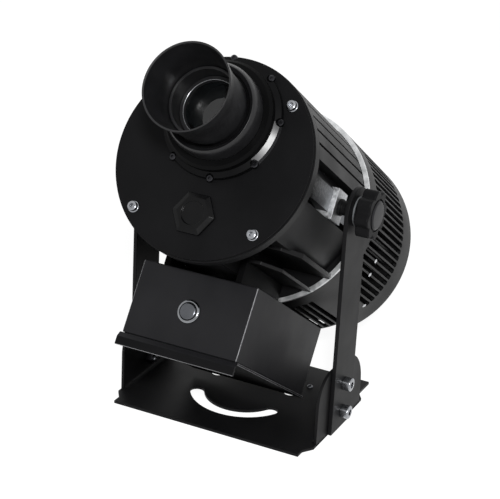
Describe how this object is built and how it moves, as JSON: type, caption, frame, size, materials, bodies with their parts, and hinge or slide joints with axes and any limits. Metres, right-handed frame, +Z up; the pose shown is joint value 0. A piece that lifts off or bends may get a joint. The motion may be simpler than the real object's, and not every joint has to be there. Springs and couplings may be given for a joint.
{
  "type": "gobo projector",
  "caption": "Outdoor image projector: a round finned head with a flared lens hood and a driver box under it tilts in a two-armed yoke on a flat slotted base.",
  "frame": {"origin": "middle of the whole object's box at rest, on the surface that the base stands on", "axes": "+X to the right of the lens as the projector looks, -Y towards the picture, +Z up"},
  "size_m": [0.2648, 0.3914, 0.3948],
  "materials": {
    "stand_paint": "satin black fine-textured powder coat on steel",
    "head_paint": "satin black fine-textured powder coat on aluminium",
    "black_anodised": "turned and black anodised, satin",
    "bare_aluminium": "machined, bare",
    "stainless": "turned stainless steel",
    "zinc_steel": "zinc plated steel",
    "black_steel": "blackened steel",
    "knob_plastic": "moulded, satin black",
    "black_plastic": "moulded, satin black",
    "grey_plastic": "moulded nylon, grey",
    "lens_glass": "polished, coated",
    "brass": "machined",
    "emitter_yellow": "phosphor under silicone",
    "driver_case": "grey potted driver case",
    "green_board": "glass-epoxy circuit board with solder mask"
  },
  "bodies": {
    "yoke": {"base_bracket": "stand_paint", "arm_left": "stand_paint", "arm_right": "stand_paint", "arm_bolt_left_lower": "stainless", "arm_bolt_left_upper": "stainless", "arm_bolt_right_lower": "stainless", "arm_bolt_right_upper": "stainless", "arm_nut_left_lower": "black_steel", "arm_nut_left_upper": "black_steel", "arm_nut_right_lower": "black_steel", "arm_nut_right_upper": "black_steel", "clamp_washer_left": "grey_plastic", "clamp_washer_right": "grey_plastic"},
    "left_knob": {"clamp_knob_left": "knob_plastic"},
    "right_knob": {"clamp_knob_right": "knob_plastic"},
    "head": {"pivot_block_left": "bare_aluminium", "pivot_block_right": "bare_aluminium", "friction_disc_left": "black_plastic", "friction_disc_right": "black_plastic", "front_plate": "head_paint", "plate_screw_1": "stainless", "plate_screw_2": "stainless", "plate_screw_3": "stainless", "plate_screw_4": "stainless", "blanking_plug": "black_plastic", "lens_flange": "black_anodised", "body_front_ring": "head_paint", "finned_body": "head_paint", "box_rail_left": "head_paint", "box_rail_right": "head_paint", "shroud_front_ring": "bare_aluminium", "rear_shroud": "head_paint", "rear_heat_sink": "black_anodised", "rear_cover": "head_paint", "fan_frame": "black_plastic", "emitter_board": "bare_aluminium", "emitter": "emitter_yellow", "condenser_holder": "bare_aluminium", "condenser_lens": "lens_glass", "gobo_mount": "bare_aluminium", "rotation_motor": "zinc_steel", "driver_cover": "stand_paint", "driver_tray": "stand_paint", "power_supply": "driver_case", "control_board": "green_board", "button_bezel": "stainless", "cable_gland": "black_plastic"},
    "focus_ring": {"focus_ring": "black_anodised"},
    "sliding_barrel": {"lens_barrel": "black_anodised", "lens_hood": "black_anodised", "front_lens": "lens_glass", "rear_lens": "lens_glass", "retaining_ring": "black_anodised"},
    "gobo_rotor": {"gobo_ring_gear": "brass", "gobo_glass": "lens_glass"},
    "pinion": {"motor_pinion": "brass"},
    "fan": {"fan_rotor": "black_plastic"},
    "button": {"button_cap": "stainless"}
  },
  "joints": [
    {"name": "head_tilt", "type": "hinge", "parent": "yoke", "child": "head", "pos_m": [0, -0.03789, 0.2266], "axis": [-1, 0, 0], "range_deg": [-124, 6]},
    {"name": "clamp_knob_left", "type": "hinge", "parent": "yoke", "child": "left_knob", "pos_m": [-0.12, -0.03789, 0.2266], "axis": [-1, 0, 0], "range_deg": [0, 270]},
    {"name": "clamp_knob_right", "type": "hinge", "parent": "yoke", "child": "right_knob", "pos_m": [0.12, -0.03789, 0.2266], "axis": [1, 0, 0], "range_deg": [0, 270]},
    {"name": "focus_turn", "type": "hinge", "parent": "head", "child": "focus_ring", "pos_m": [0, -0.09765, 0.31021], "axis": [0, -0.829, 0.5592], "range_deg": [-90, 90]},
    {"name": "focus_slide", "type": "slide", "parent": "head", "child": "sliding_barrel", "axis": [0, -0.829, 0.5592], "range_m": [-0.005, 0.005]},
    {"name": "gobo_turn", "type": "hinge", "parent": "head", "child": "gobo_rotor", "pos_m": [0, -0.06449, 0.28785], "axis": [0, -0.829, 0.5592], "continuous": true},
    {"name": "pinion_turn", "type": "hinge", "parent": "head", "child": "pinion", "pos_m": [-0.02991, -0.07228, 0.27628], "axis": [0, -0.829, 0.5592], "continuous": true},
    {"name": "fan_spin", "type": "hinge", "parent": "head", "child": "fan", "pos_m": [0, 0.1227, 0.11828], "axis": [0, -0.829, 0.5592], "continuous": true},
    {"name": "button_press", "type": "slide", "parent": "head", "child": "button", "axis": [0, 0.829, -0.5592], "range_m": [0, 0.003], "stiffness_N_per_m": 300, "springref_m": -0.005}
  ],
  "couplings": [
    {"joint": "focus_slide", "follows": "focus_turn", "m_per_rad": 0.00318},
    {"joint": "pinion_turn", "follows": "gobo_turn", "ratio": -4.5}
  ]
}
